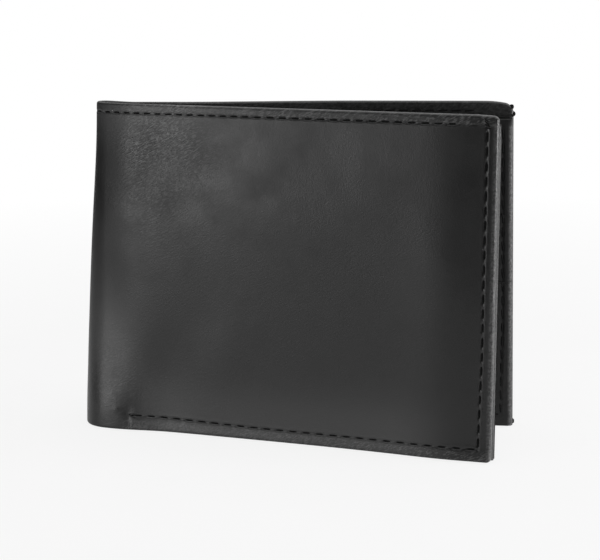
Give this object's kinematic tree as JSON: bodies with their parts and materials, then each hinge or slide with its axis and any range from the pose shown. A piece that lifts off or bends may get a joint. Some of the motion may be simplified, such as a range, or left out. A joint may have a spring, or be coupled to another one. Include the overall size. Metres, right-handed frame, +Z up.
{
  "type": "bifold wallet",
  "caption": "Black leather bifold wallet standing half open, with a folding spine, stitched turned edges, a full-length bill compartment, slip pockets and card slots.",
  "frame": {"origin": "middle of the standing wallet's footprint, on the surface it stands on", "axes": "+X from the spine towards the free edges, +Y from the front half towards the back half, +Z up"},
  "size_m": [0.1138, 0.0382, 0.088],
  "materials": {
    "cover_leather": "smooth black hide, soft sheen",
    "pocket_leather": "thin black hide, soft sheen",
    "lining_cloth": "black woven lining",
    "divider_cloth": "black woven backing",
    "thread": "black waxed sewing thread"
  },
  "bodies": {
    "back_half": {"cover_back": "cover_leather", "hem_top_back": "cover_leather", "hem_side_back": "cover_leather", "hem_foot_back": "cover_leather", "bill_lining_back": "lining_cloth", "bill_divider_back": "divider_cloth", "card_panel_back": "pocket_leather", "card_slot_upper_back": "pocket_leather", "card_slot_lower_back": "pocket_leather", "thread_top_seam_back": "thread", "thread_edge_seam_back": "thread", "thread_panel_seam_back": "thread"},
    "spine": {"cover_spine": "cover_leather", "hem_top_spine": "cover_leather", "hem_foot_spine": "cover_leather", "bill_lining_spine": "lining_cloth", "bill_divider_spine": "divider_cloth", "thread_top_seam_spine": "thread"},
    "front_half": {"cover_front": "cover_leather", "hem_top_front": "cover_leather", "hem_side_front": "cover_leather", "hem_foot_front": "cover_leather", "bill_lining_front": "lining_cloth", "bill_divider_front": "divider_cloth", "card_panel_front": "pocket_leather", "card_slot_upper_front": "pocket_leather", "card_slot_lower_front": "pocket_leather", "thread_top_seam_front": "thread", "thread_edge_seam_front": "thread", "thread_panel_seam_front": "thread"}
  },
  "joints": [
    {"name": "spine_fold", "type": "hinge", "parent": "back_half", "child": "spine", "pos_m": [-0.05413, 0.01906, 0], "axis": [0, 0, -1], "range_deg": [-6.5, 83.3]},
    {"name": "front_fold", "type": "hinge", "parent": "spine", "child": "front_half", "pos_m": [-0.05506, 0.00879, 0], "axis": [0, 0, -1], "range_deg": [-6.5, 83.3]}
  ],
  "couplings": [
    {"joint": "front_fold", "follows": "spine_fold", "ratio": 1}
  ]
}
